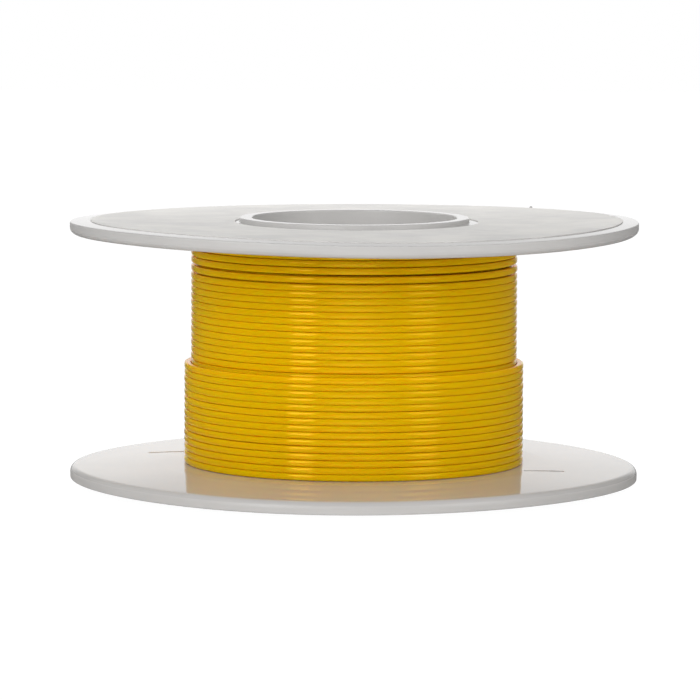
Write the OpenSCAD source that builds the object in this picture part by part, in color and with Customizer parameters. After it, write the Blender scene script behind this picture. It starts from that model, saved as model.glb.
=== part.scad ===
// Spool of single-core equipment wire: two identical moulded flanges snapped onto a
// double-walled barrel, with a blank ring label on the upper flange.
// Millimetres. +Z runs up the bore, and the origin is on the bore's axis where the spool stands.

/* [Flanges] */
// Outside diameter of a flange, at its inner face
flange_d = 100; // [88:1:120]
// Thickness of a flange at its rim
flange_t = 2.4; // [2:0.1:3.4]
// How much thicker a flange is where the wire lies against it
flange_taper = 0.6; // [0.3:0.05:1]
// How far that thicker, flat part reaches past the winding
flat_margin = 4.6; // [0.5:0.1:8]
// How much smaller in radius the flange is at its outer face
rim_draft = 0.35; // [0.1:0.05:0.8]
// Bevel on the edge of a flange's outer face
rim_bevel = 0.3; // [0.1:0.05:0.6]
// Space between the rims of the two flanges
winding_w = 40.5; // [34:0.5:60]

/* [Bore and collars] */
// Diameter of the bore
bore_d = 36; // [30:0.5:38.5]
// Wall of the collars round the bore's ends
hub_wall = 2.2; // [1.6:0.1:2.6]
// How far a collar stands out of its flange
collar_rise = 0.9; // [0.7:0.1:2.5]
// Bevel on a collar's outer edge
collar_bevel = 0.3; // [0.1:0.05:0.5]

/* [Barrel] */
// Outside diameter of the barrel, which the first turns lie on
barrel_d = 48; // [44:0.5:54]
// Wall of the barrel
barrel_wall = 1.2; // [0.9:0.1:1.8]
// Wall of the bore sleeve inside the barrel
sleeve_wall = 1.2; // [0.9:0.1:1.8]
// Number of webs between the barrel and its bore sleeve
web_count = 8; // [6:1:12]
// Thickness of a web
web_t = 1.2; // [0.8:0.1:1.8]
// Depth of the groove in a flange that the barrel's end sits in
seat_depth = 0.6; // [0.4:0.1:1]
// Gap between faces that slide together
fit_gap = 0.1; // [0.05:0.01:0.15]

/* [Latches] */
// Height of the ring on a flange that holds the latches
spigot_h = 2.6; // [2.4:0.1:4]
// Wall of that ring
spigot_wall = 1.2; // [0.9:0.1:1.6]
// Number of latches on a flange
latch_count = 4; // [3:1:6]
// Width of a latch, round the ring
latch_w = 5; // [3:0.5:7]
// How far a latch stands out of the ring
latch_out = 0.8; // [0.4:0.1:1.1]
// Height of a latch, along the bore
latch_h = 1.2; // [0.8:0.1:1.4]
// Gap round a latch in its window
latch_gap = 0.25; // [0.15:0.05:0.4]

/* [Slits for the wire's end] */
// Number of slits in a flange
slit_count = 2; // [1:1:4]
// Length of a slit
slit_len = 7; // [5:0.5:9]
// Gap between the wire and a slit's sides, both sides together
slit_play = 0.2; // [0.15:0.05:0.5]
// Distance from the thick part of the winding to a slit's inner end
slit_clear = 2.2; // [1.5:0.1:4]
// Direction of the first slit from the bore, in degrees
slit_az = -21; // [-40:1:0]
// How far a slit leans from straight outward, in degrees
slit_lean = 26; // [10:1:35]
// How far the upper flange is turned on the barrel, in degrees
upper_turn = 72; // [60:1:90]

/* [Wire] */
// Diameter of the wire over its insulation
wire_d = 1.17; // [1:0.01:1.2]
// Full layers under the outer turns
full_layers = 3; // [2:1:4]
// Height of the thick part, which has one more layer, above the lower flange's rim
thick_w = 18.9; // [12:0.1:26]
// Number of loops in the outer turns
loops = 23; // [16:1:24]
// Gap between the outer turns and what they lie on
turn_gap = 0.03; // [0.02:0.01:0.05]
// Radius of the wire's centre line where it bends sharply, in wire diameters
bend_ratio = 1.5; // [1.2:0.1:1.8]

/* [Start of the wire] */
// Diameter of the hole in the barrel that the wire starts through
start_hole_d = 1.8; // [1.5:0.1:2.4]
// Height of that hole above the lower flange
start_hole_z = 6; // [5:0.5:9]
// Gap between the hole and the web beside it
start_web_gap = 0.8; // [0.4:0.1:1.5]
// Gap between the barrel and the wire that lies behind the hole
start_wall_gap = 0.2; // [0.1:0.05:0.4]
// Length of that wire
start_tail_len = 4; // [2:0.5:5]
// Diameter of one strand of the conductor
strand_d = 0.2; // [0.15:0.01:0.22]
// Length of bare strands at the wire's start
strand_len = 1.6; // [1:0.1:2]

/* [Label] */
// Bare rim left round the label
label_margin = 2.9; // [2:0.1:5]
// Gap between the label and the collar
label_bore_gap = 1.2; // [0.8:0.1:3]
// Thickness of the label
label_t = 0.15; // [0.1:0.01:0.3]
// How far off centre the label was stuck
label_shift = 0.4; // [0:0.1:0.7]

/* [Hidden] */
$fn = 96;

// Levels along the bore: the flanges' inner faces at the rim and at the winding, and the shoulder
face_lo = collar_rise + flange_t;
face_up = face_lo + winding_w;
foot_lo = face_lo + flange_taper;
foot_up = face_up - flange_taper;
top = face_up + face_lo;
shoulder = face_lo + thick_w;

// Radii of the reel
flange_r = flange_d / 2;
bore_r = bore_d / 2;
collar_r = bore_r + hub_wall;
barrel_r = barrel_d / 2;
barrel_in_r = barrel_r - barrel_wall;
sleeve_r = bore_r + sleeve_wall;
spigot_r = barrel_in_r - fit_gap;
spigot_in_r = spigot_r - spigot_wall;
seat_r = barrel_r + fit_gap;

// Radii of the winding: what the outer turns lie on, and their centre lines
bed_up = barrel_r + full_layers * wire_d;
bed_lo = bed_up + wire_d;
turn_up = bed_up + turn_gap + wire_d / 2;
turn_lo = bed_lo + turn_gap + wire_d / 2;
winding_r = turn_lo + wire_d / 2;
slit_r = winding_r + slit_clear + slit_len / 2;
slit_w = wire_d + slit_play;
bend_r = bend_ratio * wire_d;

// A latch's foot above the flange's inner face, and how far a web stops short of it
latch_z = (spigot_h - latch_h) / 2;
web_stop = spigot_h + 2 * fit_gap;

cut = 1;              // how far a cutting shape runs past what it cuts
bend_steps = 5;       // straight steps in the wire's sharp bends
leave_steps = 8;      // straight steps where the wire leaves the winding
leave_lead = 24;      // degrees from there to the slit, round the bore
rings_per_loop = 22;
turn_sides = 6;
tail_sides = 8;
tail_steps = 4;
strand_sides = 6;
strands_round = 6;    // strands round the middle one
strand_slack = 0.02;  // gap between strands

function polar(r, a, z = 0) = [r * cos(a), r * sin(a), z];
function unit(v) = v / norm(v);
function flat(v) = [v[0], v[1]];
function bezier(p, t) =
    pow(1 - t, 3) * p[0] + 3 * pow(1 - t, 2) * t * p[1] + 3 * (1 - t) * t * t * p[2] + t * t * t * p[3];
// Quarter bend that starts at p along the direction `from` and leaves along the direction `to`
function bend(p, from, to, r, steps) =
    [for (i = [1:steps]) let (a = 90 * i / steps) p + r * (sin(a) * from + (1 - cos(a)) * to)];

// ---- One tube swept along a list of points ----

function directions(p) = let (last = len(p) - 1)
    [for (i = [0:last]) unit(p[min(i + 1, last)] - p[max(i - 1, 0)])];
function square_to(n, t) = unit(n - (n * t) * t);
// Each ring's side direction is the last one's, laid square to the tube again
function sides(t, first) =
    [for (i = 0, n = square_to(first, t[0]); i < len(t);
          i = i + 1, n = i < len(t) ? square_to(n, t[i]) : n) n];

module tube(path, d, facets, first) {
    t = directions(path);
    n = sides(t, first);
    rings = len(path);
    points = [for (i = [0:rings - 1], k = [0:facets - 1])
        let (a = 360 * k / facets)
        path[i] + d / 2 * (cos(a) * n[i] + sin(a) * cross(t[i], n[i]))];
    walls = [for (i = [0:rings - 2], k = [0:facets - 1], half = [0, 1])
        let (a = i * facets + k, b = i * facets + (k + 1) % facets)
        half == 0 ? [a, a + facets, b] : [b, a + facets, b + facets]];
    start_cap = [for (k = [0:facets - 1]) k];
    end_cap = [for (k = [facets - 1:-1:0]) (rings - 1) * facets + k];
    polyhedron(points, concat([start_cap], walls, [end_cap]), convexity = 10);
}

// ---- Reel ----

module flange_profile() {
    rim_r = flange_r - rim_draft;
    collar = [[bore_r, 0], [collar_r - collar_bevel, 0], [collar_r, collar_bevel],
              [collar_r, collar_rise]];
    rim = [[rim_r - rim_bevel, collar_rise], [rim_r, collar_rise + rim_bevel], [flange_r, face_lo]];
    seat = [[winding_r + flat_margin, foot_lo], [seat_r, foot_lo], [seat_r, foot_lo - seat_depth],
            [spigot_r, foot_lo - seat_depth]];
    spigot = [[spigot_r, foot_lo + spigot_h], [spigot_in_r, foot_lo + spigot_h],
              [spigot_in_r, foot_lo], [bore_r, foot_lo]];
    polygon(concat(collar, rim, seat, spigot));
}

module latch_places() {
    for (i = [0:latch_count - 1])
        rotate([0, 0, 360 * (i + 0.5) / latch_count]) children();
}

// Ramped ring that the latches are cut from
module latch_ring() {
    foot = spigot_r - spigot_wall / 2;
    rotate_extrude()
        polygon([[foot, latch_z], [spigot_r, latch_z], [spigot_r + latch_out, latch_z + latch_h / 4],
                 [spigot_r, latch_z + latch_h], [foot, latch_z + latch_h]]);
}

module latches() {
    translate([0, 0, foot_lo])
        intersection() {
            latch_ring();
            latch_places()
                translate([0, -latch_w / 2, 0]) cube([barrel_r, latch_w, spigot_h]);
        }
}

// Windows in the barrel's wall that the latches snap into
module latch_windows() {
    translate([0, 0, foot_lo + latch_z - latch_gap])
        latch_places()
            translate([spigot_in_r, -latch_w / 2 - latch_gap, 0])
                cube([barrel_r, latch_w + 2 * latch_gap, latch_h + 2 * latch_gap]);
}

module slit() {
    run = slit_len - slit_w;
    translate([-run / 2, -slit_w / 2, 0]) cube([run, slit_w, top]);
    for (end = [-1, 1]) translate([end * run / 2, 0, 0]) cylinder(h = top, d = slit_w, $fn = 32);
}

module slits() {
    for (i = [0:slit_count - 1])
        rotate([0, 0, slit_az + 360 * i / slit_count])
            translate([slit_r, 0, -cut]) rotate([0, 0, slit_lean]) slit();
}

module flange_moulding() {
    difference() {
        union() {
            rotate_extrude() flange_profile();
            latches();
        }
        slits();
    }
}

// Puts a flange, or what belongs to it, at the top of the spool
module as_upper() {
    rotate([0, 0, upper_turn]) translate([0, 0, top]) rotate([180, 0, 0]) children();
}

module lower_flange() {
    color("gainsboro") flange_moulding();
}

module upper_flange() {
    color("gainsboro") as_upper() flange_moulding();
}

module ring(outer, inner, z0, z1) {
    translate([0, 0, z0])
        difference() {
            cylinder(h = z1 - z0, r = outer);
            translate([0, 0, -cut]) cylinder(h = z1 - z0 + 2 * cut, r = inner);
        }
}

// Each web runs from the middle of the sleeve's wall to the middle of the barrel's
module webs() {
    web_in_r = (bore_r + sleeve_r) / 2;
    web_out_r = (barrel_in_r + barrel_r) / 2;
    for (i = [0:web_count - 1])
        rotate([0, 0, 360 * i / web_count])
            translate([web_in_r, -web_t / 2, foot_lo + web_stop])
                cube([web_out_r - web_in_r, web_t, foot_up - foot_lo - 2 * web_stop]);
}

// The start hole is beside the second web, and the wire behind it lies away from that web
start_az = 360 / web_count - asin((web_t / 2 + start_web_gap + start_hole_d / 2) / barrel_in_r);

module barrel() {
    color("whitesmoke")
        difference() {
            union() {
                ring(barrel_r, barrel_in_r, foot_lo - seat_depth, foot_up + seat_depth);
                ring(sleeve_r, bore_r, foot_lo, foot_up);
                webs();
            }
            latch_windows();
            as_upper() latch_windows();
            rotate([0, 0, start_az])
                translate([spigot_in_r, 0, foot_lo + start_hole_z])
                    rotate([0, 90, 0]) cylinder(h = barrel_r, d = start_hole_d, $fn = 32);
        }
}

module label() {
    color("lightgray")
        translate([label_shift, 0, 0])
            ring(flange_r - rim_draft - label_margin, collar_r + label_bore_gap,
                 top - collar_rise, top - collar_rise + label_t);
}

// ---- Wire ----

// The upper flange's slit that the wire's end goes through, and the way that slit runs
end_slit_az = upper_turn - slit_az;
end_slit = polar(slit_r, end_slit_az);
end_slit_dir = polar(1, end_slit_az - slit_lean);

// The outer turns climb clockwise from the lower flange to the upper one
turns_az = end_slit_az + leave_lead;
turns_z0 = foot_lo + wire_d / 2 + turn_gap;
turns_z1 = foot_up - wire_d / 2 - 4 * turn_gap;
loop_rise = (turns_z1 - turns_z0) / loops;

// The centre line steps in over half a turn, once the wire is clear of the thick part
step_in_start = (shoulder + wire_d / 2 + turn_gap - turns_z0) / loop_rise;
function step_in(t) = let (s = min(1, max(0, (t - step_in_start) / 0.5))) (1 - cos(180 * s)) / 2;
function turn_at(t) =
    polar(turn_lo + (turn_up - turn_lo) * step_in(t), turns_az - 360 * t, turns_z0 + loop_rise * t);

// Start: straight up out of the layer below, then a bend into the first loop
rise_dir = polar(1, turns_az);
turn_dir = polar(1, turns_az - 90);
pocket_r = turn_lo - bend_r - wire_d;
rise_foot = polar(pocket_r, turns_az, turns_z0) - bend_r * turn_dir;
rise_bend = rise_foot + wire_d * rise_dir;
turns_start = concat([rise_foot, rise_bend], bend(rise_bend, rise_dir, turn_dir, bend_r, bend_steps));

turns_loops = [for (i = [1:loops * rings_per_loop]) turn_at(i / rings_per_loop)];

// End: away from the winding, then up through the slit to the flange's outer face
end_foot = end_slit - bend_r / 2 * end_slit_dir + [0, 0, turns_z1];
leave = polar(turn_up, turns_az, turns_z1);
handle = norm(end_foot - leave) / 3;
end_run = [leave, leave + handle * turn_dir, end_foot - handle * end_slit_dir, end_foot];
end_bend = bend(end_foot, end_slit_dir, [0, 0, 1], bend_r, bend_steps);
end_tip = concat(flat(end_bend[bend_steps - 1]), top - collar_rise);
turns_end = concat([for (i = [1:leave_steps]) bezier(end_run, i / leave_steps)], end_bend, [end_tip]);

turns_path = concat(turns_start, turns_loops, turns_end);

// Least gap between stretches of the tube that are half a loop or more apart
least_gap = min([for (i = [0:len(turns_path) - 1],
                      j = [i + rings_per_loop / 2:1:min(len(turns_path) - 1, i + 2 * rings_per_loop)])
                     norm(turns_path[i] - turns_path[j])]) - wire_d;
echo(least_gap_between_turns_mm = least_gap);

module wire_outer_turns() {
    color("gold") tube(turns_path, wire_d, turn_sides, [0, 0, 1]);
}

// Room in the layers below for the wire that rises into the first loop
module rise_pocket() {
    room = wire_d / 2 + fit_gap;
    rotate([0, 0, turns_az])
        translate([pocket_r, -fit_gap, foot_lo - cut])
            cube([winding_r, bend_r + room + fit_gap, turns_z0 + room - foot_lo + cut]);
}

module wire_inner_layers() {
    color("goldenrod")
        difference() {
            rotate_extrude()
                polygon([[barrel_r, foot_lo], [bed_lo, foot_lo], [bed_lo, shoulder],
                         [bed_up, shoulder], [bed_up, foot_up], [barrel_r, foot_up]]);
            rise_pocket();
        }
}

// The wire's first end goes in through the barrel's wall and lies behind it
start_z = foot_lo + start_hole_z;
tail_r = barrel_in_r - start_wall_gap - wire_d / 2;
start_bend_r = barrel_in_r + barrel_wall / 3 - tail_r;
start_sweep = start_tail_len / tail_r * 180 / PI;
start_in = polar(tail_r + start_bend_r, start_az, start_z);
start_round = bend(start_in, polar(-1, start_az), polar(1, start_az - 90), start_bend_r, bend_steps);
tail_az = start_az - atan(start_bend_r / tail_r);
tail_path = concat([polar(barrel_r, start_az, start_z), start_in], start_round,
    [for (i = [1:tail_steps]) polar(tail_r, tail_az - start_sweep * i / tail_steps, start_z)]);
tail_end_az = tail_az - start_sweep;

module wire_start_tail() {
    color("gold") tube(tail_path, wire_d, tail_sides, [0, 0, 1]);
}

module strand() {
    rotate([-90, 0, 0]) cylinder(h = strand_len, d = strand_d, $fn = strand_sides);
}

module start_conductor() {
    color("silver")
        rotate([0, 0, tail_end_az])
            translate([tail_r, -strand_len, start_z]) {
                strand();
                for (i = [0:strands_round - 1])
                    rotate([0, 360 * i / strands_round, 0])
                        translate([strand_d + strand_slack, 0, 0]) strand();
            }
}

lower_flange();
upper_flange();
barrel();
label();
wire_inner_layers();
wire_outer_turns();
wire_start_tail();
start_conductor();
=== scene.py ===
import math

import bpy
import numpy as np
from mathutils import Matrix, Vector


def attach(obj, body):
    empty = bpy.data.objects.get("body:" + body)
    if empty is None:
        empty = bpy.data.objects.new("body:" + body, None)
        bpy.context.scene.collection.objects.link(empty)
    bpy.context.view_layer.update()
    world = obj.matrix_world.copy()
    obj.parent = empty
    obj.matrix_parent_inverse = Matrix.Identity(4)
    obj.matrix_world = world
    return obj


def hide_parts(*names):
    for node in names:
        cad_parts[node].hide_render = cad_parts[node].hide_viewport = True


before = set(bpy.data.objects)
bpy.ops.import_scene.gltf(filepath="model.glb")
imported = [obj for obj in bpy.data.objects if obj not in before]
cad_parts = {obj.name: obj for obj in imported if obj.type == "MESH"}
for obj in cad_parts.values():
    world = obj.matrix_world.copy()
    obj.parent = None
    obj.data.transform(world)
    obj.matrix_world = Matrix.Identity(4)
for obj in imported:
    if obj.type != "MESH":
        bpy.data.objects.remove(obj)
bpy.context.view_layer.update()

# ---- Flanges ----
# Two identical mouldings of pale grey polystyrene: a disc with a raised collar round the bore,
# two slits for the wire's end, and a ring with four latches that snaps into the barrel.
# The discs sprang slightly out of flat as they cooled, and their edges are soft.

MM = 0.001
AROUND = 240                        # facets round the reel
TOP = 47.1
BORE_R, FLANGE_R = 18.0, 50.0
COLLAR_R, COLLAR_RISE = 20.2, 0.9
RIM_LEVEL = 3.3                     # inner face at the rim
DROP_R, EDGE_DROP = 46.95, 0.24     # the outer face falls away by this much, from here to the rim
FOOT = 3.9                          # inner face where the wire lies against it
PAD_R, PAD_ROUND = 34.48, 60        # how far out that thick part reaches, and its rounding there
SEAT_R, SEAT_DEPTH = 24.1, 0.6      # groove that the barrel's end stands in
SPIGOT_IN_R, SPIGOT_R, SPIGOT_TOP = 21.5, 22.7, 6.5
# Directions are in degrees round the reel, from its right-hand side.
LATCHES, LATCH_AZ, LATCH_HALF = 4, 45, 6.2
SLIT_R, SLIT_LEN, SLIT_W = 35.58, 7.0, 1.37
SLIT_AZ, SLIT_LEAN = -21, 26
GATE_R, GATE_AZ = 48.3, 24
UPPER_TURN = 72                     # the upper flange is turned on the barrel by this much
HALF_TURN = 180


def polar(radius, degrees, z=0.0):
    """Point at a radius, a direction and a height, or a path if any of them is an array."""
    a = np.radians(degrees)
    return np.stack(np.broadcast_arrays(radius * np.cos(a), radius * np.sin(a), z), axis=-1)


def rounded(corners, steps):
    """Closed outline from corners (radius, height, rounding), each corner turned into an arc."""
    outline = []
    for i, (x, z, rounding) in enumerate(corners):
        here = np.array([x, z])
        before = np.array(corners[i - 1][:2]) - here
        after = np.array(corners[(i + 1) % len(corners)][:2]) - here
        if rounding == 0:
            outline.append(here)
            continue
        before, after = before / np.linalg.norm(before), after / np.linalg.norm(after)
        half = math.acos(np.clip(before @ after, -1, 1)) / 2
        reach = rounding / math.tan(half)
        middle = (before + after) / np.linalg.norm(before + after)
        centre = here + middle * rounding / math.sin(half)
        start, end = here + before * reach - centre, here + after * reach - centre
        sweep = math.acos(np.clip(start @ end / rounding ** 2, -1, 1))
        for s in np.linspace(0, 1, steps + 1):
            outline.append(centre + (math.sin((1 - s) * sweep) * start + math.sin(s * sweep) * end)
                           / math.sin(sweep))
    return np.array(outline)


def shell(name, points, faces):
    """New piece from points in mm."""
    mesh = bpy.data.meshes.new(name)
    mesh.from_pydata((np.asarray(points, float) * MM).tolist(), [], faces)
    mesh.validate()
    piece = bpy.data.objects.new(name, mesh)
    bpy.context.scene.collection.objects.link(piece)
    return piece


def skin(rings, n, flipped=False, closed=False):
    """Faces from each ring of n points to the next; closed joins the last ring to the first."""
    faces = []
    for j in range(rings if closed else rings - 1):
        for k in range(n):
            a, b = j * n + k, j * n + (k + 1) % n
            c, d = (b + n) % (rings * n), (a + n) % (rings * n)
            faces.append([a, d, c, b] if flipped else [a, b, c, d])
    return faces


def caps(rings, n, flipped=False):
    """The two flat faces that close a skin's first and last ring."""
    first, last = list(range(n)), [(rings - 1) * n + k for k in range(n)]
    return [first, last[::-1]] if flipped else [first[::-1], last]


def turned(name, outline, around):
    """Body of revolution of a closed outline, whose inside is on its left."""
    angles = np.linspace(0, 2 * math.pi, around, endpoint=False)
    points = np.array([[r * math.cos(a), r * math.sin(a), z] for a in angles for r, z in outline])
    return shell(name, points, skin(around, len(outline), flipped=True, closed=True))


def settle(piece):
    """Makes what the modifiers give the piece's own mesh."""
    made = piece.evaluated_get(bpy.context.evaluated_depsgraph_get())
    mesh, old = bpy.data.meshes.new_from_object(made), piece.data
    piece.modifiers.clear()
    piece.data = mesh
    mesh.name = piece.name
    bpy.data.meshes.remove(old)


def combine(piece, tool, operation):
    """Adds a tool's shape to the piece, or cuts it out, and uses the tool up."""
    step = piece.modifiers.new(operation.lower(), "BOOLEAN")
    step.operation, step.solver, step.object = operation, "EXACT", tool
    settle(piece)
    bpy.data.objects.remove(tool)


def shade(piece, degrees=35):
    """Smooth over roundings, sharp over real edges, and flat faces kept flat."""
    mesh = piece.data
    mesh.polygons.foreach_set("use_smooth", [True] * len(mesh.polygons))
    mesh.set_sharp_from_angle(angle=math.radians(degrees))
    step = piece.modifiers.new("weighted", "WEIGHTED_NORMAL")
    step.keep_sharp = True
    settle(piece)


def inner_face(radius):
    """Height of the inner face between the rim and the thick part."""
    return RIM_LEVEL + (FOOT - RIM_LEVEL) * (FLANGE_R - radius) / (FLANGE_R - PAD_R)


# Extra rings on both faces let the disc bend smoothly. The rim's wall all but stands upright.
flange_outline = rounded(
    [(BORE_R, 0, 0.3), (COLLAR_R, 0, 0.3), (COLLAR_R, COLLAR_RISE, 0.2)]
    + [(r, COLLAR_RISE, 0) for r in (26, 30, 33, 36, 39, 42, 44.5)]
    + [(DROP_R, COLLAR_RISE, 1.5), (FLANGE_R - 0.05, COLLAR_RISE + EDGE_DROP, 0.25),
       (FLANGE_R + 0.012, RIM_LEVEL, 1.2)]
    + [(r, inner_face(r), 0) for r in (46, 43, 40, 37)]
    + [(PAD_R, FOOT, PAD_ROUND), (SEAT_R, FOOT, 0.1), (SEAT_R, FOOT - SEAT_DEPTH, 0),
       (SPIGOT_R, FOOT - SEAT_DEPTH, 0), (SPIGOT_R, SPIGOT_TOP, 0.1),
       (SPIGOT_IN_R, SPIGOT_TOP, 0.1), (SPIGOT_IN_R, FOOT, 0.1), (BORE_R, FOOT, 0.05)], 7)


def slit_tool(degrees):
    """Slit with softly broken edges on both faces of the disc."""
    run, arc = (SLIT_LEN - SLIT_W) / 2, 14
    lean = Matrix.Rotation(math.radians(degrees + SLIT_LEAN), 4, "Z")
    place = Vector(polar(SLIT_R, degrees))
    widths = ((-1, 0.15), (COLLAR_RISE, 0.15), (1.05, 0), (3.55, 0), (4.05, 0.25))
    points = []
    for z, flare in widths:
        r = SLIT_W / 2 + flare
        points += [lean @ Vector((run * side + r * math.cos(a), r * math.sin(a), z)) + place
                   for side, first in ((1, -90), (-1, 90))
                   for a in np.radians(np.linspace(first, first + HALF_TURN, arc))]
    rings, n = len(widths), 2 * arc
    return shell("slit_tool", points, skin(rings, n) + caps(rings, n))


def latch_tool(degrees):
    """One latch: a ramp that lets the barrel slide on, and a step that holds it."""
    section = [(22.1, 4.6), (SPIGOT_R, 4.6), (23.5, 4.9), (SPIGOT_R, 5.8), (22.1, 5.8)]
    turns = np.linspace(degrees - LATCH_HALF, degrees + LATCH_HALF, 9)
    points = [polar(r, a, z) for a in turns for r, z in section]
    rings, n = len(turns), len(section)
    return shell("latch_tool", points, skin(rings, n, flipped=True) + caps(rings, n, flipped=True))


def gate_stub(degrees):
    """Stub of plastic left where the moulding was twisted off its runner."""
    stub = turned("gate_stub", rounded([(0.02, 1.1, 0), (0.02, 0.56, 0), (0.2, 0.58, 0.06),
                                        (0.28, 0.8, 0.05), (0.36, 1.1, 0)], 3), 20)
    stub.data.transform(Matrix.Translation(Vector(polar(GATE_R, degrees)) * MM))
    return stub


lower_flange = turned("flange_lower", flange_outline, AROUND)
for i in range(LATCHES):
    combine(lower_flange, latch_tool(LATCH_AZ + 360 / LATCHES * i), "UNION")
for i in range(2):
    combine(lower_flange, slit_tool(SLIT_AZ + HALF_TURN * i), "DIFFERENCE")
combine(lower_flange, gate_stub(GATE_AZ), "UNION")

upside_down = (Matrix.Rotation(math.radians(UPPER_TURN), 4, "Z")
               @ Matrix.Translation((0, 0, TOP * MM)) @ Matrix.Rotation(math.pi, 4, "X"))
upper_flange = bpy.data.objects.new("flange_upper", lower_flange.data.copy())
bpy.context.scene.collection.objects.link(upper_flange)
upper_flange.data.transform(upside_down)

# How far the rims have sprung, in mm: first the lift all round, then waves that go round the rim
# once, twice and three times, each with its cosine's and its sine's share.
LOWER_SPRING = (0.04, (1, -0.034, 0.251), (2, -0.027, 0.009), (3, -0.068, -0.177))
UPPER_SPRING = (0.175, (1, 0.006, -0.129), (2, 0.321, 0.202), (3, 0.089, -0.064))
FLAT_R = 31                         # the barrel holds the disc flat out to here
SPRING_CURVE = 1.5                  # above 1, so that the lift starts gently


def sprung(piece, mean, *waves):
    """Lifts a disc's rim as it has sprung out of flat, less and less towards the barrel."""
    spots = np.empty(len(piece.data.vertices) * 3)
    piece.data.vertices.foreach_get("co", spots)
    x, y, z = spots.reshape(-1, 3).T
    a, out = np.arctan2(y, x), np.clip((np.hypot(x, y) / MM - FLAT_R) / (FLANGE_R - FLAT_R), 0, 1)
    lift = mean + sum(c * np.cos(times * a) + s * np.sin(times * a) for times, c, s in waves)
    z += lift * out ** SPRING_CURVE * MM
    piece.data.vertices.foreach_set("co", spots)


sprung(lower_flange, *LOWER_SPRING)
sprung(upper_flange, *UPPER_SPRING)
shade(lower_flange)
shade(upper_flange)


def finish(name, settings):
    """New material with its shader's plain values."""
    material = bpy.data.materials.new(name)
    material.use_nodes = True
    shader = material.node_tree.nodes["Principled BSDF"]
    for socket, value in settings.items():
        shader.inputs[socket].default_value = value
    return material, material.node_tree, shader


def add(tree, kind, inputs=(), **settings):
    """New node with its plain inputs and its settings."""
    node = tree.nodes.new(kind)
    for setting, value in settings.items():
        setattr(node, setting, value)
    for socket, value in inputs:
        node.inputs[socket].default_value = value
    return node


def axes(tree, way):
    """The X, Y and Z parts of a direction."""
    split = add(tree, "ShaderNodeSeparateXYZ")
    tree.links.new(way, split.inputs[0])
    return split.outputs


def sums(tree, operation, *values):
    """Result of one step of arithmetic on plain numbers and other nodes' results."""
    node = add(tree, "ShaderNodeMath", operation=operation)
    for socket, value in zip(node.inputs, values):
        if isinstance(value, float):
            socket.default_value = value
        else:
            tree.links.new(value, socket)
    return node.outputs[0]


def noise(tree, per_mm, detail, stretch=(1, 1, 1)):
    """Noise fixed to the piece, with so many lumps to a millimetre."""
    place = add(tree, "ShaderNodeTexCoord")
    scale = add(tree, "ShaderNodeMapping", [("Scale", stretch)])
    lumps = add(tree, "ShaderNodeTexNoise", [("Scale", per_mm / MM), ("Detail", detail)])
    tree.links.new(place.outputs["Object"], scale.inputs["Vector"])
    tree.links.new(scale.outputs["Vector"], lumps.inputs["Vector"])
    return lumps.outputs["Fac"]


def spread(tree, source, low, high, start=0.35, end=0.65):
    """Turns a source between start and end into a number or a colour between low and high."""
    if isinstance(low, tuple):
        ramp = add(tree, "ShaderNodeValToRGB")
        for stop, position, colour in zip(ramp.color_ramp.elements, (start, end), (low, high)):
            stop.position, stop.color = position, colour + (1,)
        tree.links.new(source, ramp.inputs["Fac"])
        return ramp.outputs["Color"]
    span = add(tree, "ShaderNodeMapRange", [("From Min", start), ("From Max", end),
                                            ("To Min", low), ("To Max", high)])
    tree.links.new(source, span.inputs["Value"])
    return span.outputs["Result"]


def vary(tree, shader, socket, per_mm, detail, low, high):
    """Lets one of the shader's values wander over the piece between low and high."""
    tree.links.new(spread(tree, noise(tree, per_mm, detail), low, high), shader.inputs[socket])


def relief(tree, shader, source, depth_mm):
    """Fine bumps, no deeper than so many mm."""
    bump = add(tree, "ShaderNodeBump", [("Distance", depth_mm * MM), ("Strength", 1.0)])
    tree.links.new(source, bump.inputs["Height"])
    tree.links.new(bump.outputs["Normal"], shader.inputs["Normal"])


# The flat faces are glossy like the mould's; the rim and the collar's wall are duller.
moulded, tree, shader = finish("moulded_polystyrene", {"IOR": 1.57, "Specular IOR Level": 0.5})
vary(tree, shader, "Base Color", 0.05, 3, (0.52, 0.51, 0.50), (0.55, 0.538, 0.525))
facing = add(tree, "ShaderNodeTexCoord").outputs["Normal"]
upright = sums(tree, "ABSOLUTE", axes(tree, facing)["Z"])
dullness = sums(tree, "ADD", spread(tree, upright, 0.36, 0.03, start=0.3, end=0.7),
                spread(tree, noise(tree, 0.4, 4), 0, 0.03))
tree.links.new(dullness, shader.inputs["Roughness"])
relief(tree, shader, noise(tree, 1.6, 3), 0.0015)

for piece, cad in ((lower_flange, "lower_flange"), (upper_flange, "upper_flange")):
    piece.data.materials.clear()
    piece.data.materials.append(moulded)
    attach(piece, "root")
    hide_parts(cad)

# ---- Barrel ----
# One moulding of the same plastic: a drum wall joined by eight webs to the sleeve round the bore.
# Only the sleeve's inside shows, through the bore. Its colour is painted lighter than the flanges'
# plastic, painted light that brightens the shaded bore, and it is duller.

drum, tree, shader = finish("drum_plastic_painted_lighter", {"IOR": 1.57})
# Painted light: a lighter copy of the flanges' plastic, so that the inside of the bore looks brighter.
vary(tree, shader, "Base Color", 0.07, 3, (0.70, 0.695, 0.685), (0.74, 0.732, 0.72))
vary(tree, shader, "Roughness", 0.5, 3, 0.3, 0.42)
relief(tree, shader, noise(tree, 0.6, 3, (1, 1, 0.15)), 0.004)
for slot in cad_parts["barrel"].material_slots:
    slot.material = drum

# ---- Inner layers of wire ----
# Three full layers of yellow PVC wire and a fourth over the lower half, each a run of close turns.
# They show only as darker turns between the outer ones, and at the step near mid height.

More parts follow.
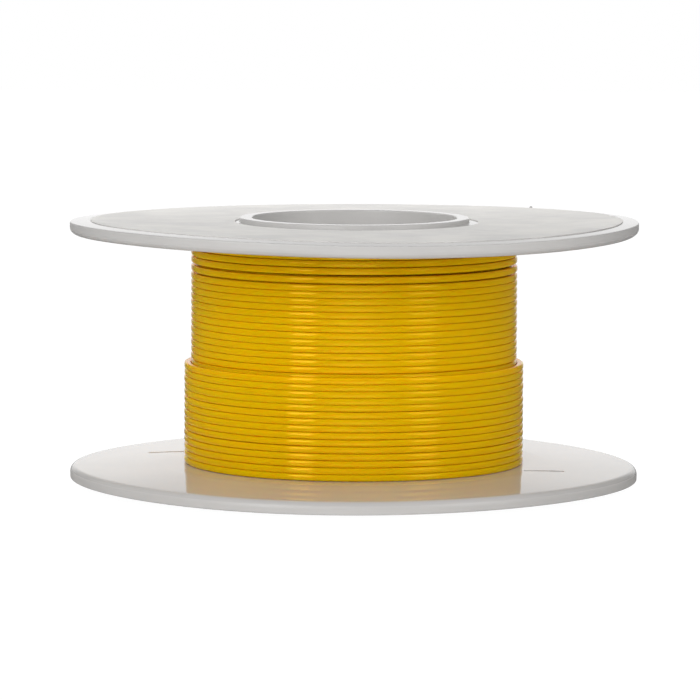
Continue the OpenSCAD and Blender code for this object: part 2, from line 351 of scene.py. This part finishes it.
WIRE_D = 1.17
BARREL_R = 24.0
FOOT_UP = TOP - FOOT
TURN_GAP, END_GAP = 0.015, 0.02         # between two turns, and to the flanges
LAYER_AZ, LAYER_SHIFT = 39, 50          # where the first layer starts, and each next one after it
THIRD_SWELL = 0.06                      # the third layer stands out by this much
BULGE, BULGE_Z, BULGE_OVER = 0.01, 36.5, 1.5    # share of the radius, from this height, over this
SLACK = 0.03                            # the layers don't bed down quite fully
FOURTH_R = BARREL_R + 3.5 * WIRE_D + SLACK
FOURTH_TURNS, FOURTH_TOP, FOURTH_PITCH = 15, 21.69, 1.173
STEP_START, STEP_END = 110, 60          # where each turn steps over, in degrees round the bore
STEP_LONG = STEP_START - STEP_END
INNER_STEPS = 72                        # points to a turn


def tube(name, path, diameter, facets, away=None, pressed=2.0):
    """Wire along a path, with away a direction that isn't along it.

    Pressed is 2 for round wire, and more where the turns are squeezed flat against each other.
    """
    path = np.asarray(path, float)
    ahead = np.gradient(path, axis=0)
    ahead /= np.linalg.norm(ahead, axis=1)[:, None]
    side = path * [1, 1, 0] if away is None else np.broadcast_to(away, path.shape)
    side = side - (side * ahead).sum(1)[:, None] * ahead
    side /= np.linalg.norm(side, axis=1)[:, None]
    other = np.cross(ahead, side)
    a = np.linspace(0, 2 * math.pi, facets, endpoint=False)[None, :, None]
    bulge = 2 / np.reshape(pressed * np.ones(len(path)), (-1, 1, 1))
    outward = np.sign(np.cos(a)) * np.abs(np.cos(a)) ** bulge
    sideways = np.sign(np.sin(a)) * np.abs(np.sin(a)) ** bulge
    points = path[:, None] + diameter / 2 * (outward * side[:, None] + sideways * other[:, None])
    faces = skin(len(path), facets) + caps(len(path), facets)
    piece = shell(name, points.reshape(-1, 3), faces)
    piece.data.polygons.foreach_set("use_smooth", [True] * (len(faces) - 2) + [False] * 2)
    return piece


def join(name, pieces):
    """Makes several meshes one piece."""
    with bpy.context.temp_override(active_object=pieces[0], selected_editable_objects=pieces):
        bpy.ops.object.join()
    pieces[0].name = pieces[0].data.name = name
    return pieces[0]


def layer(radius, z0, z1, from_az):
    """One run of close turns from z0 to z1."""
    turns = abs(z1 - z0) / (WIRE_D + TURN_GAP)
    t = np.linspace(0, turns, int(turns * INNER_STEPS))
    return polar(radius, from_az - 360 * t, z0 + (z1 - z0) * t / turns)


def stepping(within):
    """How far a turn has stepped over to the next, from 0 to 1, at so many degrees into it."""
    share = np.clip((within - (360 - STEP_LONG)) / STEP_LONG, 0, 1)
    return (1 - np.cos(np.pi * share)) / 2


wire_low, wire_high = FOOT + WIRE_D / 2 + END_GAP, FOOT_UP - WIRE_D / 2 - END_GAP
first = layer(BARREL_R + 0.5 * WIRE_D, wire_low, wire_high, LAYER_AZ)
second = layer(BARREL_R + 1.5 * WIRE_D, wire_high, wire_low, LAYER_AZ + LAYER_SHIFT)
third = layer(BARREL_R + 2.5 * WIRE_D + THIRD_SWELL, wire_low, wire_high, LAYER_AZ + 2 * LAYER_SHIFT)
# The third layer's last turns bulge out into the wider gaps between the turns over them.
third[:, :2] *= 1 + BULGE * np.clip((third[:, 2:] - BULGE_Z) / BULGE_OVER, 0, 1)
t = np.arange(0, FOURTH_TURNS, 1 / INNER_STEPS)
fourth = polar(FOURTH_R, STEP_END - 360 * t,
               FOURTH_TOP - FOURTH_PITCH * (np.floor(t) + stepping(t % 1 * 360)))
inner_layers = join("wire_layers_below",
                    [tube("run", run, WIRE_D, facets=8) for run in (first, second, third, fourth)])

pvc, tree, shader = finish("yellow_pvc", {
    "IOR": 1.5, "Specular IOR Level": 0.12, "Specular Tint": (1, 0.9, 0.8, 1), "Metallic": 0.12,
    "Subsurface Weight": 1.0, "Subsurface Radius": (1, 0.6, 0.1), "Subsurface Scale": 0.0019})
vary(tree, shader, "Base Color", 0.04, 2, (0.93, 0.466, 0.001), (0.96, 0.481, 0.0013))
vary(tree, shader, "Roughness", 0.8, 3, 0.09, 0.14)
relief(tree, shader, noise(tree, 1.2, 2), 0.001)

inner_layers.data.materials.append(pvc)
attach(inner_layers, "root")
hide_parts("wire_inner_layers")

# ---- Outer layer of wire ----
# One wire laid level, turn by turn, from the lower flange up; each turn steps up over the one
# below it in the same short stretch. Fifteen turns lie on four layers, the others on three.
# The top turn leaves towards the upper flange's slit and goes up through it, under the label.

OVER_THREE, OVER_FOUR = FOURTH_R, FOURTH_R + WIRE_D     # radius of turns on that many layers
# Heights of the turns: those over the fourth layer, the even ones above it, and the last four,
# which lie less close.
TURN_Z = ([4.49, 5.66, 6.85, 8.06, 9.28, 10.49, 11.69, 12.88, 14.06, 15.25, 16.45, 17.60, 18.77,
           19.94, 21.12] + [22.86 + 1.1725 * i for i in range(13)] + [38.30, 39.79, 41.06, 42.29])
STEP_SWELL = 0.1                        # a turn stands out by this much where it crosses the one below
WANDER_OUT, WANDER_UP = 0.05, 0.03      # the turns' own unevenness
PRESSED, ROUND = 3.4, 2.0               # the wound turns are squeezed, the end that leaves is round
LEAVE_AZ = 117                          # where the top turn leaves the winding
SLIT_AT = UPPER_TURN - SLIT_AZ          # the upper flange's slit, and the way along it
SLIT_DIR = SLIT_AT - SLIT_LEAN
BEND_R = 1.755                          # radius of the bend into the slit
OUTER_STEPS = 120                       # points to a turn

rng = np.random.default_rng(11)


def slow_waves(turns, size, waves=5):
    """Small irregularity that repeats nowhere: a few sines whose lengths don't fit a turn."""
    total = np.zeros_like(turns)
    for _ in range(waves):
        total += np.sin(2 * math.pi * (turns * rng.uniform(0.3, 2.7) + rng.uniform()))
    return size * total / waves


count = len(TURN_Z)
last_turn = (STEP_END - (LEAVE_AZ - 360)) / 360
turns = np.arange(-STEP_LONG / 360, count - 1 + last_turn, 1 / OUTER_STEPS)
number = np.floor(turns).astype(int)
here, above = number + 1, np.minimum(number + 2, count)
step = stepping((turns - number) * 360)
# Both lists have one entry more at either end, so that the wire starts and ends level.
height = np.array([TURN_Z[0]] + TURN_Z + [TURN_Z[-1]])
reach = np.array([OVER_THREE] + [OVER_FOUR] * FOURTH_TURNS
                 + [OVER_THREE] * (count - FOURTH_TURNS + 1))
z = height[here] * (1 - step) + height[above] * step
r = reach[here] * (1 - step) + reach[above] * step
r += STEP_SWELL * np.sin(np.pi * step) + slow_waves(turns, WANDER_OUT)
z += slow_waves(turns, WANDER_UP) * np.clip(turns * 3, 0, 1)
wound = polar(r, STEP_END - 360 * turns, z)

# The wire leaves along a smooth curve to the slit, bends up and stops under the label.
leave = polar(OVER_THREE, LEAVE_AZ, TURN_Z[-1])
heading = polar(1, LEAVE_AZ - 90)
into_slit = polar(1, SLIT_DIR)
foot = polar(SLIT_R, SLIT_AT, TURN_Z[-1]) - BEND_R / 2 * into_slit
reach_out = np.linalg.norm(foot - leave) / 3
knots = [wound[-1], wound[-1] + reach_out * heading, foot - reach_out * into_slit, foot]
s = np.linspace(0, 1, 26)[1:, None]
leaving = ((1 - s) ** 3 * knots[0] + 3 * (1 - s) ** 2 * s * knots[1]
           + 3 * (1 - s) * s ** 2 * knots[2] + s ** 3 * knots[3])
s = np.radians(np.linspace(0, 90, 11))[1:, None]
upward = foot + BEND_R * (np.sin(s) * into_slit + (1 - np.cos(s)) * np.array([0, 0, 1]))
tip = upward[-1] * [1, 1, 0] + [0, 0, TOP - COLLAR_RISE]
rising = [(upward[-1] + tip) / 2, tip]
outer_path = np.concatenate([wound, leaving, upward, rising])
pressed = np.concatenate([np.full(len(wound), PRESSED), np.linspace(PRESSED, ROUND, len(leaving)),
                          np.full(len(upward) + len(rising), ROUND)])
outer_turns = tube("wire_outer_layer", outer_path, WIRE_D, facets=20, pressed=pressed)

outer_turns.data.materials.append(pvc)
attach(outer_turns, "root")
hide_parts("wire_outer_turns")

# ---- Start of the wire ----
# The first end of the wire goes in through a hole in the barrel's wall and lies behind it.
# Its insulation is cut square there, with seven twisted strands of tinned copper beyond the cut.

START_AZ, START_Z, START_BEND = 39.2, FOOT + 6, 1.185
TAIL_R, TAIL_LEN = 22.015, 4            # middle of the stretch behind the wall
STRANDS, STRAND_D, STRAND_GAP, STRAND_LEN, STRAND_TWIST = 7, 0.2, 0.015, 1.6, 0.9

start_in = polar(TAIL_R + START_BEND, START_AZ, START_Z)
inward, along, upwards = polar(-1, START_AZ), polar(1, START_AZ - 90), np.array([0, 0, 1])
s = np.radians(np.linspace(0, 90, 11))[:, None]
round_bend = start_in + START_BEND * (np.sin(s) * inward + (1 - np.cos(s)) * along)
tail_az = START_AZ - math.degrees(math.atan(START_BEND / TAIL_R))
cut_az = tail_az - math.degrees(TAIL_LEN / TAIL_R)
behind = polar(TAIL_R, np.linspace(tail_az, cut_az, 11)[1:], START_Z)
tail_path = np.concatenate([[polar(BARREL_R, START_AZ, START_Z)], round_bend, behind])
start_tail = tube("wire_start", tail_path, WIRE_D, facets=16, away=upwards)
start_tail.data.materials.append(pvc)
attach(start_tail, "root")
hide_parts("wire_start_tail")

straight_on, across = polar(1, cut_az - 90), polar(1, cut_az)
strands = []
for k in range(STRANDS):
    t = np.linspace(0, 1, 13)[:, None]
    swing = 2 * math.pi * k / (STRANDS - 1) + STRAND_TWIST * t
    off = 0 if k == STRANDS - 1 else STRAND_D + STRAND_GAP
    path = (behind[-1] + STRAND_LEN * t * straight_on
            + off * (np.cos(swing) * across + np.sin(swing) * upwards))
    strands.append(tube("strand", path, STRAND_D, facets=10, away=upwards))
conductor = join("wire_strands", strands)

tinned, tree, shader = finish("tinned_copper", {"Metallic": 1.0})
vary(tree, shader, "Base Color", 3, 2, (0.62, 0.61, 0.59), (0.70, 0.69, 0.67))
vary(tree, shader, "Roughness", 8, 3, 0.22, 0.4)
relief(tree, shader, noise(tree, 12, 2), 0.002)
conductor.data.materials.append(tinned)
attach(conductor, "root")
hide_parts("start_conductor")

# ---- Label ----
# A blank ring of thin coated paper, stuck on the upper flange a little off centre.
# It has sunk slightly over the two slits, and its cut edges are soft.

LABEL_IN, LABEL_OUT, LABEL_T, LABEL_SHIFT = 21.4, 46.75, 0.15, 0.4
SINK, SINK_LONG, SINK_WIDE = 0.05, 3.2, 0.62
RIPPLE, RIPPLE_TOP = 0.006, 2.2
label_bottom = TOP - COLLAR_RISE
width = LABEL_OUT - LABEL_IN
radii = LABEL_IN + np.concatenate([[0, 0.03], np.linspace(0.12, width - 0.12, 90),
                                   [width - 0.03, width]])
angles = np.linspace(0, 2 * math.pi, 360, endpoint=False)
rr, aa = np.meshgrid(radii, angles, indexing="ij")
x, y = rr * np.cos(aa) + LABEL_SHIFT, rr * np.sin(aa)
edge = np.minimum(rr - LABEL_IN, LABEL_OUT - rr)
# The cut edges taper in two small steps.
lift = LABEL_T * np.where(edge < 0.01, 0.6, np.where(edge < 0.05, 0.9, 1))
for az in (SLIT_AT, SLIT_AT + HALF_TURN):
    centre, way = polar(SLIT_R, az), polar(1, az - SLIT_LEAN)
    u = (x - centre[0]) * way[0] + (y - centre[1]) * way[1]
    v = -(x - centre[0]) * way[1] + (y - centre[1]) * way[0]
    lift -= SINK * np.exp(-(u / SINK_LONG) ** 4 - (v / SINK_WIDE) ** 2)
# It is a little uneven where it was pressed down.
ripple = (np.sin(aa * 5 + 1.3) * np.sin(rr * 0.31 + 0.7) + np.sin(aa * 11 + rr * 0.2)
          + 0.7 * np.sin(aa * 23 - rr * 0.43 + 2))
lift += np.where(edge > 0.05, RIPPLE * (ripple - RIPPLE_TOP), 0)
rings, n = len(radii), len(angles)
top_points = np.stack([x, y, label_bottom + lift], axis=-1).reshape(-1, 3)
under = np.stack([x[[0, -1]], y[[0, -1]], np.full((2, n), label_bottom)], axis=-1).reshape(-1, 3)
faces = skin(rings, n, flipped=True)
inner_rim, outer_rim, top_last = rings * n, (rings + 1) * n, (rings - 1) * n
for k in range(n):
    m = (k + 1) % n
    faces.append([inner_rim + k, k, m, inner_rim + m])
    faces.append([top_last + k, outer_rim + k, outer_rim + m, top_last + m])
    faces.append([outer_rim + k, inner_rim + k, inner_rim + m, outer_rim + m])
label = shell("label_ring", np.concatenate([top_points, under]), faces)
sprung(label, *UPPER_SPRING)
shade(label, 50)

paper, tree, shader = finish("label_paper", {"IOR": 1.45})
vary(tree, shader, "Base Color", 0.12, 5, (0.615, 0.605, 0.592), (0.70, 0.686, 0.66))
vary(tree, shader, "Roughness", 0.5, 4, 0.5, 0.62)
relief(tree, shader, noise(tree, 3, 5), 0.008)
label.data.materials.append(paper)
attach(label, "root")
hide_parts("label")

# ---- Floor and light ----
# A white table in a white room. Soft lamps stand in front, overhead and close behind the label,
# and a tall strip either side of the camera is only mirrored in the wire and the plastic.
# The floor keeps the shadow under the lower flange.

FLOOR_HALF = 1500
WHITE = (1, 1, 1, 1)
GLOW, GLOW_SHARE = 1.06, 0.93           # how white the table glows, and the glow's share of its look
# Mirrored surfaces see white ahead of and behind the spool. It fades beside it, where the
# sideways part of the direction lies between these.
WHITE_TO, DIM_FROM = 0.12, 0.42


def rays(tree):
    """1 for rays from the camera, and 1 for all rays that see or mirror a thing, not light it."""
    seen = add(tree, "ShaderNodeLightPath").outputs
    mirrored = sums(tree, "MAXIMUM", seen["Is Camera Ray"], seen["Is Glossy Ray"])
    return seen["Is Camera Ray"], sums(tree, "MAXIMUM", mirrored, seen["Is Transmission Ray"])


floor = shell("floor", FLOOR_HALF * np.array([(-1, -1, 0), (1, -1, 0), (1, 1, 0), (-1, 1, 0)]),
              [[0, 1, 2, 3]])
table, tree, shader = finish("white_table", {"Base Color": (0.95, 0.95, 0.95, 1), "Roughness": 0.9})
from_camera, looked_at = rays(tree)

# The white that mirrored surfaces see is dimmer beside the spool; the camera sees it all white.
place = add(tree, "ShaderNodeTexCoord")
way = add(tree, "ShaderNodeVectorMath", operation="NORMALIZE")
tree.links.new(place.outputs["Object"], way.inputs[0])
sideways = sums(tree, "ABSOLUTE", axes(tree, way.outputs["Vector"])["X"])
lit = sums(tree, "MAXIMUM", spread(tree, sideways, 1.0, 0.05, WHITE_TO, DIM_FROM), from_camera)
glow = add(tree, "ShaderNodeEmission", [("Color", WHITE)])
tree.links.new(sums(tree, "MULTIPLY", lit, GLOW), glow.inputs["Strength"])
mix = add(tree, "ShaderNodeMixShader")
tree.links.new(sums(tree, "MULTIPLY", looked_at, GLOW_SHARE), mix.inputs["Fac"])
tree.links.new(shader.outputs["BSDF"], mix.inputs[1])
tree.links.new(glow.outputs["Emission"], mix.inputs[2])

# From below, the camera sees through the table.
underside = add(tree, "ShaderNodeNewGeometry").outputs["Backfacing"]
clear = add(tree, "ShaderNodeBsdfTransparent")
hide = add(tree, "ShaderNodeMixShader")
tree.links.new(sums(tree, "MULTIPLY", underside, from_camera), hide.inputs["Fac"])
tree.links.new(mix.outputs["Shader"], hide.inputs[1])
tree.links.new(clear.outputs["BSDF"], hide.inputs[2])
tree.links.new(hide.outputs["Shader"], tree.nodes["Material Output"].inputs["Surface"])
floor.data.materials.append(table)

world = bpy.data.worlds.new("white_room")
bpy.context.scene.world = world
world.use_nodes = True
tree = world.node_tree
room = tree.nodes["Background"]
room.inputs["Color"].default_value = WHITE
from_camera, looked_at = rays(tree)

# Mirrored surfaces see the white backdrop low down behind the spool and a dimmer room elsewhere.
# The room's own light is weaker from high up.
parts = axes(tree, add(tree, "ShaderNodeTexCoord").outputs["Generated"])
sideways = sums(tree, "ABSOLUTE", parts["X"])
low_down = sums(tree, "MULTIPLY", spread(tree, sideways, 1.0, 0.1, WHITE_TO, DIM_FROM),
                spread(tree, parts["Z"], 1.0, 0.7, start=0.15, end=0.27))
backdrop = sums(tree, "MULTIPLY", low_down, sums(tree, "GREATER_THAN", parts["Y"], 0.0))
level = add(tree, "ShaderNodeMapRange")
tree.links.new(looked_at, level.inputs["Value"])
tree.links.new(spread(tree, parts["Z"], 0.78, 0.54, start=0.2, end=0.45), level.inputs["To Min"])
tree.links.new(sums(tree, "MAXIMUM", from_camera, backdrop), level.inputs["To Max"])
tree.links.new(level.outputs["Result"], room.inputs["Strength"])


def lamp(name, place, aim, width, tall, power, mirrored=False):
    """Soft lamp that isn't seen itself: it lights the surfaces, or is only mirrored in them."""
    light = bpy.data.lights.new(name, "AREA")
    light.shape, light.size, light.size_y, light.energy = "RECTANGLE", width, tall, power
    holder = bpy.data.objects.new(name, light)
    bpy.context.scene.collection.objects.link(holder)
    holder.location = place
    holder.rotation_euler = (Vector(aim) - Vector(place)).to_track_quat("-Z", "Y").to_euler()
    holder.visible_camera = False
    holder.visible_glossy = mirrored
    holder.visible_diffuse = not mirrored


def beside(degrees, distance, height):
    """Place at so many degrees right of the camera's direction from the spool."""
    return polar(distance, degrees - 90, height)


# Lamps' places and sizes are in metres, their power in watts.
lamp("overhead", (0.1, -0.25, 1.05), (0, 0, 0), width=1.2, tall=1.2, power=0.2)
lamp("back", (-0.03, 0.17, 0.16), (0, 0.03, 0.046), width=0.3, tall=0.06, power=0.38)
lamp("front", beside(-8, 1.2, 0.42), (0, 0, 0.02), width=0.6, tall=0.7, power=7.3)
lamp("left_strip", beside(-36, 1.0, 0.4), (0, 0, 0.03), width=0.31, tall=0.8, power=2.3, mirrored=True)
lamp("right_strip", beside(49, 1.0, 0.4), (0, 0, 0.03), width=0.38, tall=0.8, power=1.5, mirrored=True)

# ---- Camera ----
# Long lens, a little above the spool and looking slightly down at it, so that the label and the
# lower flange's inner face both show as thin ellipses.

LENS, SENSOR = 253.87, 36
CAMERA_AT = (-0.000694, -0.86609, 0.1091)       # in metres
LOOKS_DOWN, ROLL = 5.638, 0.229                 # in degrees

camera_data = bpy.data.cameras.new("camera")
camera_data.lens, camera_data.sensor_width = LENS, SENSOR
camera_data.clip_start, camera_data.clip_end = 0.01, 20
camera = bpy.data.objects.new("camera", camera_data)
bpy.context.scene.collection.objects.link(camera)
camera.matrix_world = (Matrix.Translation(CAMERA_AT)
                       @ Matrix.Rotation(math.radians(90 - LOOKS_DOWN), 4, "X")
                       @ Matrix.Rotation(math.radians(ROLL), 4, "Z"))
bpy.context.scene.camera = camera
bpy.context.scene.view_settings.view_transform = "Standard"
